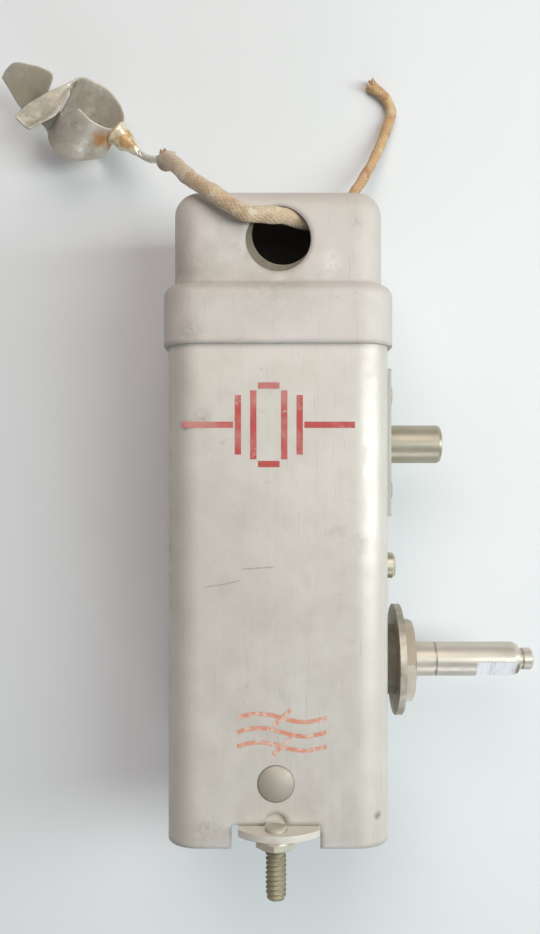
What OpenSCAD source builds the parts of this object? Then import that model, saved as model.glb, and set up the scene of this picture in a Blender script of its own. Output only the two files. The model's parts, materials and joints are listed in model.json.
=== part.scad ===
// Shielded crystal filter unit of a vintage radio set, lying on its back.
// A square drawn can with a pressed cap holds a quartz crystal, a tuned coil, a phasing
// capacitor and a selector switch. Two control shafts leave its right side, a clip lead leaves
// the hole in the cap, and one stud at the open end fastens it to a chassis.
// Frame: +X along the control shafts, +Y towards the cap, +Z out of the front face.
// Origin: middle of the flat back face. Sizes in millimetres.

/* [Can] */
// Width of the square can
body_w = 38.1; // [37:0.1:40]
// Outer corner radius of the can
body_corner = 5.5; // [4.5:0.1:6.5]
// Sheet thickness of the can
body_wall = 0.8; // [0.6:0.05:0.9]
// Length of can that shows below the cap
body_show = 85; // [84:0.5:90]

/* [Cap] */
// Width of the cap's skirt
skirt_w = 39.7; // [39.4:0.1:40.2]
// Length of the cap's skirt
skirt_l = 10.5; // [9.5:0.1:12]
// Width of the cap's upper part
crown_w = 36; // [35:0.1:36.4]
// Overall length of can and cap
overall_l = 111.7; // [110:0.1:114]
// Sheet thickness of the cap
cap_wall = 0.75; // [0.6:0.05:0.8]
// Diameter of the lead hole in the cap
lead_hole_d = 11.1; // [10.8:0.1:12]

/* [Chassis foot] */
// Width of the notch at the open end
notch_w = 15; // [14.4:0.1:16]
// Height of the notch
notch_h = 4; // [3.8:0.1:4.4]
// Width of the foot tab
tab_w = 13.6; // [12:0.1:13.8]
// How far the tab stands out of the front face
tab_reach = 4.7; // [4.2:0.1:5.5]
// Diameter of the mounting stud
stud_d = 3.5; // [3:0.1:3.6]
// Length of the stud below the can
stud_l = 7.4; // [5:0.1:12]
// Diameter of the rivet head
rivet_head_d = 6.35; // [5:0.05:7]

/* [Phasing control] */
// Height of the phasing shaft above the open end
phasing_h = 27.9; // [27.6:0.1:29]
// Diameter of the phasing shaft
phasing_d = 6.35; // [6:0.05:6.4]
// Reach of the phasing shaft from the can's middle
phasing_reach = 45.3; // [42:0.1:60]
// Diameter of the large flat washer
washer_d = 20.6; // [18:0.1:22]
// Width of the nut across its flats
nut_af = 14.29; // [13:0.01:16]

/* [Selector control] */
// Height of the selector shaft above the open end
selector_h = 68.5; // [67.5:0.1:69.5]
// Diameter of the selector shaft
selector_d = 7.14; // [6.35:0.01:7.2]
// Reach of the selector shaft from the can's middle
selector_reach = 30.7; // [28:0.1:40]
// Size of the square side plate
plate_size = 25.8; // [24:0.1:26]

/* [Leads] */
// Diameter of the clip lead
grid_lead_d = 2.8; // [2.4:0.1:3]
// Diameter of the bare wire at its end
grid_wire_d = 1.5; // [1:0.1:1.8]
// Diameter of the thin second lead
rear_lead_d = 2.1; // [1.6:0.1:2.4]
// Inner diameter of the clip's loop
clip_bore = 11.4; // [9:0.1:12]
// Sheet thickness of the clip
clip_sheet = 0.5; // [0.4:0.05:0.6]

/* [Hidden] */
$fn = 64;
hull_fn = 32;
tube_sides = 8;

// Gaps between pieces that are only laid together, and round a running shaft
slip = 0.05;
running = 0.04;
eps = 0.01;

// Can, half sizes and inner room
half_w = body_w / 2;
inner_half = half_w - body_wall;
inner_corner = body_corner - body_wall;
neck_inset = 0.1;
shelf_gap = 0.15;
shelf_w = 2 * (inner_half - shelf_gap);
shelf_corner = inner_corner - shelf_gap;
back_mid = body_show / 2;

// Cap
skirt_top = body_show + skirt_l;
rim_h = skirt_top - 0.8;
crown_half = crown_w / 2;
crown_corner = 5;
crown_round = 4;
shoulder_round = 2;
skirt_corner = body_corner + (skirt_w - body_w) / 2;
lead_hole_h = 102.9;
rear_hole_d = rear_lead_d + 0.4;
liner_shift = [0.8, 1.0];
liner_inner = 5.3;
liner_outer = 8;
liner_t = 0.8;

// Chassis foot, placed slightly left of the middle
foot_x = -0.4;
tab_shift = 0.5;
foot_t = 1.2;
tab_side_reach = 1.7;
tab_top = notch_h - 0.1;
tab_low = tab_top - foot_t;
foot_top = 15;
rivet_h = 10.9;
rivet_rise = 0.9;
rivet_shank = 1.55;
stud_off = 1.7;
stud_end = 0.6;
collar_af = 6.35;
collar_low = 1.3;
relief_r = 1.9;

// Right side wall, measured along X from the can's middle
spacer_out = half_w + 2.85;
washer_out = spacer_out + 1.2;
nut_out = washer_out + 2.15;
bush_out = nut_out + 0.25;
spacer_r = 6.5;
bush_r = 4.7;
bush_neck_r = 5.5;
nut_turn = -4;
nut_edge = 0.2;
liner_in = inner_half - 1.2;
flange_in = liner_in - 1.3;
end_plate_t = 1.5;
end_plate_in = flange_in - end_plate_t;
bush_in = end_plate_in - 0.25;

// Phasing shaft, from the bushing outwards
phasing_r = phasing_d / 2;
groove_x = 29.3;
groove_w = 0.5;
end_bevel = 0.9;
flat_start = 37.2;
flat_end = phasing_reach - 0.1;
flat_depth = 2.2;
flat_angle = 46;
nub_r = 2.05;
nub_l = 2.8;
nub_groove = 0.5;

// Phasing capacitor, from the end plate inwards
vane_t = 0.6;
vane_pitch = 2.4;
vane_count = 4;
vane_first = 2.2;
rotor_r = 8.2;
hub_r = 3.9;
hub_out = 13.2;
hub_in = 1.9;
spindle_r = 2.5;
stator_gap = 0.6;
stator_half = 9.3;
stator_low = 8.4;
stator_bore = 4.5;
post_r = 1.2;
post_y = 7.6;
post_z = 6.6;

// Selector switch, from the side plate inwards
plate_t = 0.8;
plate_out = half_w + plate_t;
plate_rivet = [9.9, 8.4];
plate_rivet_r = 0.8;
plate_rivet_head = 1.5;
window = 17;
selector_r = selector_d / 2;
gland_r = 4.5;
gland_flange_r = 7;
gland_flange_t = 1.2;
index_out = 13.5;
index_t = 1.2;
index_seat_r = 4.05;
index_half = [12, 7.5];
detent_circle = 6;
detent_r = 0.7;
arm_gap = 0.4;
arm_t = 0.8;
wafer_in = 3;
wafer_t = 1.6;
wafer_r = 13;
rotor_disc_r = 4.7;
rotor_disc_t = 1.2;
tang = [4, 2.4];
contact_t = 0.4;
spacer_post_y = 10;
spacer_post_r = 1.5;
step_angle = 30;
journal_out = 0.3;
journal_r = 3.175;

// Frame screw and partition
frame_screw_h = 45.6;
screw_head_r = 2.45;
screw_head_t = 3.1;
screw_r = 1.42;
partition_low = 50;
partition_t = 1;
flange_low = 41;
flange_half = 7;
frame_nut_af = 6.35;
frame_nut_t = 2.2;

// Boards, posts and coil
base_low = foot_top;
board_t = 1.6;
top_low = 84;
top_face = top_low + board_t;
board_post = [13.8, 14.6];
board_post_r = 1.8;
coil_x = -9.6;
coil_r = 6.35;
coil_wall = 0.8;
winding_r = 8.2;
lug_w = 2.6;
lug_t = 0.5;
lug_l = 8;
lug_count = 5;
lug_pitch = 6;
lug_y = 11;

// Crystal holder
socket = [24, 10, 3];
holder = [24, 16, 6];
holder_floor = 1.4;
holder_well = [14, 12];
holder_lid_t = 1.6;
electrode = [12, 10, 0.8];
quartz = [8, 8, 1.4];
pin_x = 9;
pin_r = 1.2;
holder_low = top_face + socket[2];
well_low = holder_low + holder_floor;
quartz_low = well_low + electrode[2];
upper_low = quartz_low + quartz[2];
lid_low = holder_low + holder[2];

// Lead terminals inside the cap, as [x, y, top]
grid_lug = [9, -12, 92];
rear_lug = [12.4, 10.05, 94];

// Routes of the leads in the lying frame
grid_route = [
    [9, 49.5, 31.05], [11, 53.5, 31.2], [11.6, 57.6, 31.6], [10.2, 61.4, 32.2], [7, 63.6, 33],
    [3.6, 64.2, 34.6], [0.8, 64.3, 36.6], [-2, 64.1, 38.2], [-4.7, 63.9, 39.1], [-7.5, 65, 39.8],
    [-10.9, 67.4, 39.5], [-14.9, 70.6, 37], [-18, 74.6, 32], [-20.4, 78.2, 25]
];
wire_route = [
    [-20.4, 78.2, 25], [-22.7, 80.2, 18.6], [-24.8, 82, 13.4], [-26.4, 83.5, 10.6], [-27.9, 84.7, 9.5]
];
rear_route = [
    [12.4, 51.5, 9], [12.4, 60, 9], [12.4, 69.2, 9], [13.1, 72.4, 8.5], [14.5, 75.6, 7.4],
    [16.3, 78.4, 6], [18.5, 82.4, 4], [20.9, 87.2, 2], [22.7, 91.8, 0.9], [24, 95.4, 0.5],
    [23.4, 98.3, 0.5], [21.7, 100.4, 0.5], [19.6, 102, 0.5]
];

// Grid clip: its loop leans away from the viewer and its tail ends at the bare wire
clip_tilt = 58;
clip_turn = 42;
clip_tail = [12, 0, 0.3];
clip_wire_end = wire_route[len(wire_route) - 1];
clip_r = clip_bore / 2;
clip_outer = clip_r + clip_sheet;
clip_high = 4;
clip_low = 9;
petal_r = 7.5;
petal_mid = petal_r - clip_low;
rim_mid = 2.6;
rim_lean = [9.6, 11.3, 0];
near_angle = 225;
far_angle = 178;
near_wall = -4.5;
near_outline = [
    [-3.85, -2.3], [-8.6, -2.3], [-7.9, 2], [-8.7, 2.9], [-11.8, 1.9], [-16.9, -0.8], [-17.8, -5.3],
    [-13.8, -6.9], [-11.6, -7.8], [-5.6, -7], [-3.85, -8]
];
rim_cut = [[0, 2.4], [-2.6, -2.3], [-7, -2.3], [-7, 5], [0, 5]];
far_start = [0.78, 3.52];
far_lean = 40;
far_outline = [
    [-6.7, -1], [-5.85, -1], [-5.75, 2.5], [-5.4, 4], [-4.8, 5.5], [-4.2, 6.8], [-3.9, 7.8], [-3.4, 8.6],
    [-3.2, 9.6], [-4, 13.2], [-4.4, 15.6], [-8.2, 16.3], [-8.9, 12.5], [-8.2, 7.5], [-6.6, 2.1]
];
solder_r = 2.4;
solder_tip_r = 0.9;

// Lays the upright unit on its back: the open end's edge goes to -Y and the front goes up
module lying() {
    translate([0, -back_mid, half_w]) rotate([-90, 0, 0]) children();
}

// Square outline with round corners
module rounded_square(w, r) {
    square([w, w - 2 * r], center = true);
    square([w - 2 * r, w], center = true);
    for (x = [-1, 1], y = [-1, 1]) translate([x, y] * (w / 2 - r)) circle(r = r);
}

module rounded_block(w, r, low, high) {
    translate([0, 0, low]) linear_extrude(height = high - low) rounded_square(w, r);
}

// Drawn cup with round corners and a round upper edge, as a solid
module drawn_cup(w, corner, round_r, low, high) {
    hull() for (x = [-1, 1], y = [-1, 1])
        translate([x * (w / 2 - corner), y * (w / 2 - corner), low])
            rotate_extrude($fn = hull_fn) {
                square([corner, high - low - round_r]);
                square([corner - round_r, high - low]);
                translate([corner - round_r, high - low - round_r])
                    intersection() {
                        circle(r = round_r, $fn = hull_fn);
                        square(round_r);
                    }
            }
}

// Round bar along X between two places
module bar_x(from, to, r) {
    translate([from, 0, 0]) rotate([0, 90, 0]) cylinder(h = to - from, r = r);
}

// Round bar along Y between two places
module bar_y(from, to, r) {
    translate([0, from, 0]) rotate([-90, 0, 0]) cylinder(h = to - from, r = r);
}

// Hexagonal bar along X, one corner turned up from the front
module hex_x(from, to, across, turn) {
    translate([from, 0, 0]) rotate([turn, 0, 0]) rotate([0, 90, 0])
        rotate(30) cylinder(h = to - from, r = across / sqrt(3), $fn = 6);
}

// Box between two opposite corners
module box(a, b) {
    translate(a) cube(b - a);
}

// Round tube of triangles and flat rings along a route
function unit(v) = v / norm(v);
function along(p, i) = unit(p[min(i + 1, len(p) - 1)] - p[max(i - 1, 0)]);
function side_of(t) = unit(cross(t, abs(t[2]) < 0.9 ? [0, 0, 1] : [1, 0, 0]));
function ring_at(c, t, r) = let (u = side_of(t), v = cross(t, u))
    [for (k = [0 : tube_sides - 1]) let (a = 360 * k / tube_sides) c + r * (cos(a) * u + sin(a) * v)];

module tube(route, d) {
    n = tube_sides;
    last = len(route) - 1;
    points = [for (i = [0 : last]) each ring_at(route[i], along(route, i), d / 2)];
    walls = [for (i = [0 : last - 1], k = [0 : n - 1])
        let (a = i * n + k, b = i * n + (k + 1) % n)
        each [[a, a + n, b + n], [a, b + n, b]]];
    ends = [[for (k = [0 : n - 1]) k], [for (k = [n - 1 : -1 : 0]) last * n + k]];
    polyhedron(points, concat(ends, walls));
}

// Strip of sheet along a path in the plane, of even thickness
function strip_turn(p, i) = let (
        before = unit(p[max(i, 1)] - p[max(i, 1) - 1]),
        after = unit(p[min(i, len(p) - 2) + 1] - p[min(i, len(p) - 2)]),
        mean = unit(before + after))
    [-mean[1], mean[0]] / (mean * after);

module strip(p, t) {
    polygon(concat(
        [for (i = [0 : len(p) - 1]) p[i] + strip_turn(p, i) * t / 2],
        [for (i = [len(p) - 1 : -1 : 0]) p[i] - strip_turn(p, i) * t / 2]));
}

module shield_can() {
    color("gainsboro") lying() difference() {
        union() {
            rounded_block(body_w, body_corner, 0, body_show);
            rounded_block(body_w - 2 * neck_inset, body_corner - neck_inset, body_show - eps, rim_h);
        }
        rounded_block(2 * inner_half, inner_corner, -1, rim_h + 1);
        box([foot_x - notch_w / 2, -half_w - 1, -1], [foot_x + notch_w / 2, -inner_half + 0.5, notch_h]);
        translate([foot_x, 0, notch_h]) bar_y(-half_w - 1, -inner_half + 0.5, relief_r);
        translate([foot_x, 0, rivet_h]) bar_y(-half_w - 1, -inner_half + 0.5, rivet_shank + slip);
        translate([0, 0, phasing_h]) bar_x(inner_half - 1, half_w + 1, bush_neck_r + slip);
        translate([0, 0, frame_screw_h]) bar_x(inner_half - 1, half_w + 1, screw_r + slip);
        box([inner_half - 1, -window / 2, selector_h - window / 2],
            [half_w + 1, window / 2, selector_h + window / 2]);
        plate_rivet_places() bar_x(inner_half - 1, half_w + 1, plate_rivet_r + slip);
    }
}

module top_cap() {
    color("silver") lying() difference() {
        union() {
            drawn_cup(skirt_w, skirt_corner, shoulder_round, body_show, skirt_top);
            drawn_cup(crown_w, crown_corner, crown_round, body_show, overall_l);
        }
        rounded_block(skirt_w - 2 * cap_wall, skirt_corner - cap_wall, body_show - 1, rim_h);
        drawn_cup(crown_w - 2 * cap_wall, crown_corner - cap_wall, crown_round - cap_wall,
            body_show - 1, overall_l - cap_wall);
        translate([0, 0, lead_hole_h]) bar_y(-half_w - 1, 0, lead_hole_d / 2);
        translate([rear_lug[0], rear_lug[1], overall_l - 5]) cylinder(h = 6, d = rear_hole_d);
    }
}

module hole_liner() {
    face = -crown_half + cap_wall;
    color("peru") lying() translate([liner_shift[0], 0, lead_hole_h + liner_shift[1]]) difference() {
        bar_y(face, face + liner_t, liner_outer);
        bar_y(face - 1, face + liner_t + 1, liner_inner);
        translate([0, face - 1, overall_l - lead_hole_h - crown_round - liner_shift[1]]) cube(20);
        translate([-20, face - 1, overall_l - lead_hole_h - crown_round - liner_shift[1]]) cube(20);
    }
}

module foot_bracket() {
    sag = tab_reach - tab_side_reach;
    arc_r = (pow(tab_w / 2, 2) + sag * sag) / (2 * sag);
    mid = foot_x + tab_shift;
    color("tan") lying() difference() {
        union() {
            box([mid - tab_w / 2, -inner_half, tab_low], [mid + tab_w / 2, -inner_half + foot_t, foot_top]);
            intersection() {
                box([mid - tab_w / 2, -half_w - tab_reach, tab_low],
                    [mid + tab_w / 2, -inner_half + foot_t, tab_top]);
                translate([mid, -half_w - tab_reach + arc_r, tab_low]) cylinder(h = foot_t, r = arc_r);
            }
        }
        translate([foot_x, -half_w - stud_off, 0]) cylinder(h = foot_top, d = stud_d + 2 * slip);
        translate([foot_x, 0, rivet_h]) bar_y(-half_w, 0, rivet_shank + slip);
    }
}

module foot_rivet() {
    head_r = rivet_head_d / 2;
    dome = (head_r * head_r + rivet_rise * rivet_rise) / (2 * rivet_rise);
    inside = -inner_half + foot_t;
    color("lightgray") lying() translate([foot_x, 0, rivet_h]) {
        intersection() {
            translate([0, -half_w - rivet_rise + dome, 0]) sphere(r = dome);
            bar_y(-half_w - rivet_rise, -half_w, head_r);
        }
        bar_y(-half_w - eps, inside + eps, rivet_shank);
        bar_y(inside, inside + 1, rivet_shank + 0.8);
    }
}

module foot_stud() {
    color("darkkhaki") lying() translate([foot_x, -half_w - stud_off, 0]) {
        translate([0, 0, -stud_l]) cylinder(h = stud_l + tab_top + stud_end, d = stud_d);
        translate([0, 0, collar_low]) rotate(24)
            cylinder(h = tab_low - collar_low, r = collar_af / sqrt(3), $fn = 6);
    }
}

module plate_rivet_places() {
    for (y = [-1, 1], z = [-1, 1])
        translate([0, y * plate_rivet[0], selector_h + z * plate_rivet[1]]) children();
}

module side_plate() {
    color("gainsboro") lying() difference() {
        box([half_w, -plate_size / 2, selector_h - plate_size / 2],
            [plate_out, plate_size / 2, selector_h + plate_size / 2]);
        translate([0, 0, selector_h]) bar_x(half_w - 1, plate_out + 1, gland_r + slip);
        plate_rivet_places() bar_x(half_w - 1, plate_out + 1, plate_rivet_r + slip);
    }
}

module plate_rivets() {
    color("silver") lying() plate_rivet_places() {
        bar_x(inner_half - 0.5, plate_out + eps, plate_rivet_r);
        bar_x(inner_half - 0.5, inner_half, plate_rivet_head);
        bar_x(plate_out, plate_out + 0.4, plate_rivet_head);
    }
}

module frame_screw() {
    color("tan") lying() translate([0, 0, frame_screw_h]) {
        difference() {
            rotate([0, 90, 0]) rotate_extrude() translate([0, half_w]) polygon([
                [0, 0], [screw_head_r, 0], [screw_head_r, screw_head_t - 0.5],
                [screw_head_r - 0.5, screw_head_t], [0, screw_head_t]]);
            box([half_w + screw_head_t - 0.8, -0.4, -3], [half_w + screw_head_t + 1, 0.4, 3]);
        }
        bar_x(inner_half - partition_t - frame_nut_t - 0.5, half_w + eps, screw_r);
    }
}

module frame_nut() {
    inner = inner_half - partition_t;
    color("tan") lying() translate([0, 0, frame_screw_h]) difference() {
        hex_x(inner - frame_nut_t, inner, frame_nut_af, 0);
        bar_x(inner - frame_nut_t - 1, inner + 1, screw_r + slip);
    }
}

module partition() {
    color("silver") lying() difference() {
        union() {
            rounded_block(shelf_w, shelf_corner, partition_low, partition_low + partition_t);
            box([inner_half - partition_t, -flange_half, flange_low],
                [inner_half, flange_half, partition_low + eps]);
        }
        translate([0, 0, frame_screw_h]) bar_x(inner_half - 5, half_w, screw_r + slip);
        translate([2, 14, partition_low - 1]) cylinder(h = 3, r = 2);
    }
}

module base_board() {
    color("saddlebrown") lying()
        rounded_block(shelf_w, shelf_corner, base_low, base_low + board_t);
}

module terminal_lugs() {
    color("silver") lying() for (i = [0 : lug_count - 1])
        translate([(i - (lug_count - 1) / 2) * lug_pitch, lug_y, base_low - lug_l]) difference() {
            translate([-lug_w / 2, 0, 0]) cube([lug_w, lug_t, lug_l]);
            translate([0, 0, 2]) bar_y(-1, 1, 0.8);
        }
}

module board_posts() {
    color("silver") lying() for (x = [-1, 1], y = [-1, 1])
        translate([x * board_post[0], y * board_post[1], partition_low + partition_t])
            cylinder(h = top_low - partition_low - partition_t, r = board_post_r);
}

module top_board() {
    color("saddlebrown") lying() difference() {
        rounded_block(shelf_w, shelf_corner, top_low, top_face);
        for (x = [-1, 1])
            translate([x * pin_x, 0, top_low - 1]) cylinder(h = 4, r = pin_r + slip);
    }
}

module coil_form() {
    low = base_low + board_t;
    color("peru") lying() translate([coil_x, 0, low]) difference() {
        cylinder(h = partition_low - low, r = coil_r);
        translate([0, 0, -1]) cylinder(h = partition_low, r = coil_r - coil_wall);
    }
}

module winding(low, high) {
    color("darkolivegreen") lying() translate([coil_x, 0, low]) difference() {
        cylinder(h = high - low, r = winding_r);
        translate([0, 0, -1]) cylinder(h = high - low + 2, r = coil_r);
    }
}

module primary_winding() { winding(21, 27); }

module secondary_winding() { winding(36, 44); }

module mica_capacitor() {
    color("maroon") lying() translate([-17, 0, partition_low + partition_t]) cube([16, 12, 4]);
}

module load_resistor() {
    color("sienna") lying() translate([0, -8, partition_low + partition_t + 2.5]) bar_x(-16.5, -2.5, 2.5);
}

module phasing_spacer() {
    color("peru") lying() translate([0, 0, phasing_h]) difference() {
        union() {
            bar_x(half_w, spacer_out, spacer_r);
            bar_x(inner_half, half_w + eps, bush_neck_r);
        }
        bar_x(inner_half - 1, spacer_out + 1, bush_r + slip);
    }
}

module phasing_washer() {
    color("silver") lying() translate([0, 0, phasing_h]) difference() {
        bar_x(spacer_out, washer_out, washer_d / 2);
        bar_x(spacer_out - 1, washer_out + 1, bush_r + slip);
    }
}

module phasing_nut() {
    clear_r = nut_af / sqrt(3) + nut_edge;
    face_r = nut_af / 2 + nut_edge;
    height = nut_out - washer_out;
    bevel = (clear_r - face_r) * tan(30);
    color("lightgray") lying() translate([0, 0, phasing_h]) difference() {
        intersection() {
            hex_x(washer_out, nut_out, nut_af, nut_turn);
            rotate([0, 90, 0]) rotate_extrude() translate([0, washer_out]) polygon([
                [0, -1], [clear_r, -1], [clear_r, height - bevel], [face_r, height], [0, height]]);
        }
        bar_x(washer_out - 1, nut_out + 1, bush_r + slip);
    }
}

module phasing_liner() {
    color("peru") lying() translate([0, 0, phasing_h]) difference() {
        bar_x(liner_in, inner_half, 8);
        bar_x(liner_in - 1, inner_half + 1, bush_r + slip);
    }
}

module phasing_bushing() {
    color("goldenrod") lying() translate([0, 0, phasing_h]) difference() {
        union() {
            bar_x(bush_in, bush_out, bush_r);
            bar_x(flange_in, liner_in, 7.5);
        }
        bar_x(bush_in - 1, bush_out + 1, phasing_r + running);
    }
}

module phasing_plate() {
    color("ivory") lying() translate([0, 0, phasing_h]) difference() {
        box([end_plate_in, -10.5, -10.8], [flange_in, 10.5, 10.8]);
        bar_x(end_plate_in - 1, flange_in + 1, bush_r + slip);
    }
}

// Stator vanes fill the lower half and are carried by two posts from the end plate
module phasing_stator() {
    color("silver") lying() translate([0, 0, phasing_h]) {
        for (i = [0 : vane_count])
            translate([vane_first + i * vane_pitch, 0, 0]) difference() {
                box([0, -stator_half, -stator_low], [vane_t, stator_half, -stator_gap]);
                bar_x(-1, vane_t + 1, stator_bore);
            }
        for (y = [-1, 1])
            translate([0, y * post_y, -post_z]) bar_x(vane_first, end_plate_in, post_r);
    }
}

module phasing_shaft() {
    color("lightgray") lying() translate([0, 0, phasing_h]) difference() {
        union() {
            bar_x(hub_in - 0.6, hub_out + eps, spindle_r);
            bar_x(hub_out, groove_x, phasing_r);
            bar_x(groove_x - eps, groove_x + groove_w + eps, phasing_r - 0.35);
            bar_x(groove_x + groove_w, phasing_reach - end_bevel, phasing_r);
            rotate([0, 90, 0]) rotate_extrude() translate([0, phasing_reach]) polygon([
                [0, -end_bevel], [phasing_r, -end_bevel], [phasing_r - 0.5, 0], [nub_r, 0],
                [nub_r, 0.5], [nub_r - 0.35, 0.5], [nub_r - 0.35, 0.5 + nub_groove],
                [nub_r, 0.5 + nub_groove], [nub_r, nub_l - 0.4], [nub_r - 0.4, nub_l], [0, nub_l]]);
        }
        rotate([flat_angle, 0, 0])
            box([flat_start, -phasing_r - 1, -phasing_r - 1], [flat_end, -flat_depth, phasing_r + 1]);
    }
}

// Rotor vanes are half discs on a hub, turned up and clear of the stator at rest
module phasing_rotor() {
    color("silver") lying() translate([0, 0, phasing_h]) difference() {
        union() {
            bar_x(hub_in, hub_out, hub_r);
            for (i = [0 : vane_count - 1])
                translate([vane_first + (i + 0.5) * vane_pitch, 0, 0]) intersection() {
                    bar_x(0, vane_t, rotor_r);
                    box([-1, -rotor_r, 0], [vane_t + 1, rotor_r, rotor_r]);
                }
        }
        bar_x(hub_in - 1, hub_out + 1, spindle_r + running / 2);
    }
}

module switch_bushing() {
    flange = half_w - gland_flange_t;
    color("goldenrod") lying() translate([0, 0, selector_h]) difference() {
        union() {
            bar_x(index_out, plate_out, gland_r);
            bar_x(flange, half_w, gland_flange_r);
            bar_x(index_out - index_t, index_out + eps, index_seat_r);
        }
        bar_x(index_out - index_t - 1, plate_out + 1, journal_r + running);
    }
}

module switch_index() {
    color("silver") lying() translate([0, 0, selector_h]) difference() {
        box([index_out - index_t, -index_half[0], -index_half[1]], [index_out, index_half[0], index_half[1]]);
        bar_x(index_out - index_t - 1, index_out + 1, index_seat_r + slip);
        for (a = [0 : step_angle : 330])
            rotate([a, 0, 0]) translate([0, detent_circle, 0])
                bar_x(index_out - index_t - 1, index_out + 1, detent_r);
    }
}

module switch_posts() {
    color("silver") lying() for (y = [-1, 1])
        translate([0, y * spacer_post_y, selector_h])
            bar_x(wafer_in + wafer_t, index_out - index_t, spacer_post_r);
}

module switch_wafer() {
    color("saddlebrown") lying() translate([0, 0, selector_h]) difference() {
        bar_x(wafer_in, wafer_in + wafer_t, wafer_r);
        bar_x(wafer_in - 1, wafer_in + wafer_t + 1, rotor_disc_r + 0.3);
    }
}

module switch_contacts() {
    face = wafer_in + wafer_t;
    color("silver") lying() translate([0, 0, selector_h])
        for (half = [0, 180], a = [30 : step_angle : 150])
            rotate([a + half, 0, 0]) box([face, 3.9, -0.8], [face + contact_t, 14, 0.8]);
}

module selector_shaft() {
    inner = index_out - index_t;
    color("lightgray") lying() translate([0, 0, selector_h]) union() {
        bar_x(inner, plate_out + journal_out, journal_r);
        bar_x(plate_out + journal_out, selector_reach - 0.6, selector_r);
        rotate([0, 90, 0]) rotate_extrude() translate([0, selector_reach - 0.6]) polygon([
            [0, 0], [selector_r, 0], [selector_r - 0.25, 0.45], [selector_r - 0.6, 0.6], [0, 0.6]]);
        box([wafer_in - 0.8, -tang[0] / 2, -tang[1] / 2], [inner + eps, tang[0] / 2, tang[1] / 2]);
    }
}

// Spring arm on the shaft's tang, with the ball that clicks past the index plate's holes
module detent_arm() {
    face = index_out - index_t - arm_gap;
    color("goldenrod") lying() translate([0, 0, selector_h]) difference() {
        union() {
            bar_x(face - arm_t, face, 3.4);
            box([face - arm_t, 0, -1.5], [face, detent_circle + 1.5, 1.5]);
            translate([face, detent_circle, 0]) intersection() {
                sphere(r = 0.35);
                box([-0.2, -1, -1], [0.3, 1, 1]);
            }
        }
        box([face - 2, -tang[0] / 2 - slip, -tang[1] / 2 - slip],
            [face + 1, tang[0] / 2 + slip, tang[1] / 2 + slip]);
    }
}

module switch_rotor() {
    color("peru") lying() translate([0, 0, selector_h]) difference() {
        bar_x(wafer_in, wafer_in + rotor_disc_t, rotor_disc_r);
        box([wafer_in - 1, -tang[0] / 2 - slip, -tang[1] / 2 - slip],
            [wafer_in + 3, tang[0] / 2 + slip, tang[1] / 2 + slip]);
    }
}

// Block in the middle of the can, resting at a given height
module centred_block(size, low) {
    translate([-size[0] / 2, -size[1] / 2, low]) cube(size);
}

module crystal_socket() {
    color("peru") lying() difference() {
        centred_block(socket, top_face);
        for (x = [-1, 1])
            translate([x * pin_x, 0, top_face - 1]) cylinder(h = socket[2] + 2, r = pin_r + slip);
    }
}

module crystal_base() {
    color("#222222") lying() difference() {
        centred_block(holder, holder_low);
        centred_block([holder_well[0], holder_well[1], holder[2]], well_low);
    }
}

module crystal_cover() {
    color("#222222") lying() centred_block([holder[0], holder[1], holder_lid_t], lid_low);
}

module crystal_pins() {
    color("goldenrod") lying() for (x = [-1, 1])
        translate([x * pin_x, 0, top_low]) cylinder(h = holder_low - top_low, r = pin_r);
}

module lower_electrode() {
    color("goldenrod") lying() centred_block(electrode, well_low);
}

module quartz_plate() {
    color("aliceblue") lying() centred_block(quartz, quartz_low);
}

module upper_electrode() {
    color("goldenrod") lying() centred_block(electrode, upper_low);
}

// Bowed leaf between the upper electrode and the cover
module pressure_spring() {
    rise = lid_low - upper_low - electrode[2];
    color("silver") lying() translate([0, 2, upper_low + electrode[2]]) rotate([90, 0, 0])
        linear_extrude(height = 4) strip([[-5, 0.2], [-3, 0.3], [0, rise - 0.2], [3, 0.3], [5, 0.2]], 0.36);
}

module lead_terminals() {
    color("silver") lying() for (lug = [grid_lug, rear_lug])
        translate([lug[0] - lug_w / 2, lug[1] - lug_t / 2, top_face]) cube([lug_w, lug_t, lug[2] - top_face]);
}

module grid_lead() {
    color("tan") tube(grid_route, grid_lead_d);
}

module grid_wire() {
    color("silver") tube(wire_route, grid_wire_d);
}

// Puts a piece of the clip, drawn about its loop's axis, on the end of the bare wire
module clip_place() {
    translate(clip_wire_end) rotate([-clip_tilt, 0, -clip_turn]) translate(-clip_tail) children();
}

module clip_loop() {
    intersection() {
        difference() {
            translate([0, 0, -clip_low]) cylinder(h = clip_low + clip_high, r = clip_outer);
            translate([0, 0, -clip_low - 1]) cylinder(h = clip_low + clip_high + 2, r = clip_r);
            mouth = [for (a = [far_angle, 180, near_angle]) 12 * [cos(a), sin(a)]];
            translate([0, 0, -clip_low - 1]) linear_extrude(height = clip_low + clip_high + 2)
                polygon(concat([[0, 0]], mouth));
            translate([0, 0, rim_mid]) rotate(rim_lean) box([-petal_r, -petal_r, 0], [petal_r, petal_r, petal_r]);
            translate([0, -clip_r / 2, 0]) rotate([90, 0, 0])
                linear_extrude(height = clip_r) polygon(rim_cut);
        }
        union() {
            translate([0, 0, petal_mid]) bar_y(-clip_outer - 1, clip_outer + 1, petal_r);
            box([-petal_r, -petal_r, petal_mid], [petal_r, petal_r, clip_high]);
        }
    }
}

// Flared finger grip, which runs straight on from the near wall
module near_ear() {
    translate([0, near_wall + clip_sheet / 2, 0]) rotate([90, 0, 0])
        linear_extrude(height = clip_sheet) polygon(near_outline);
}

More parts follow.
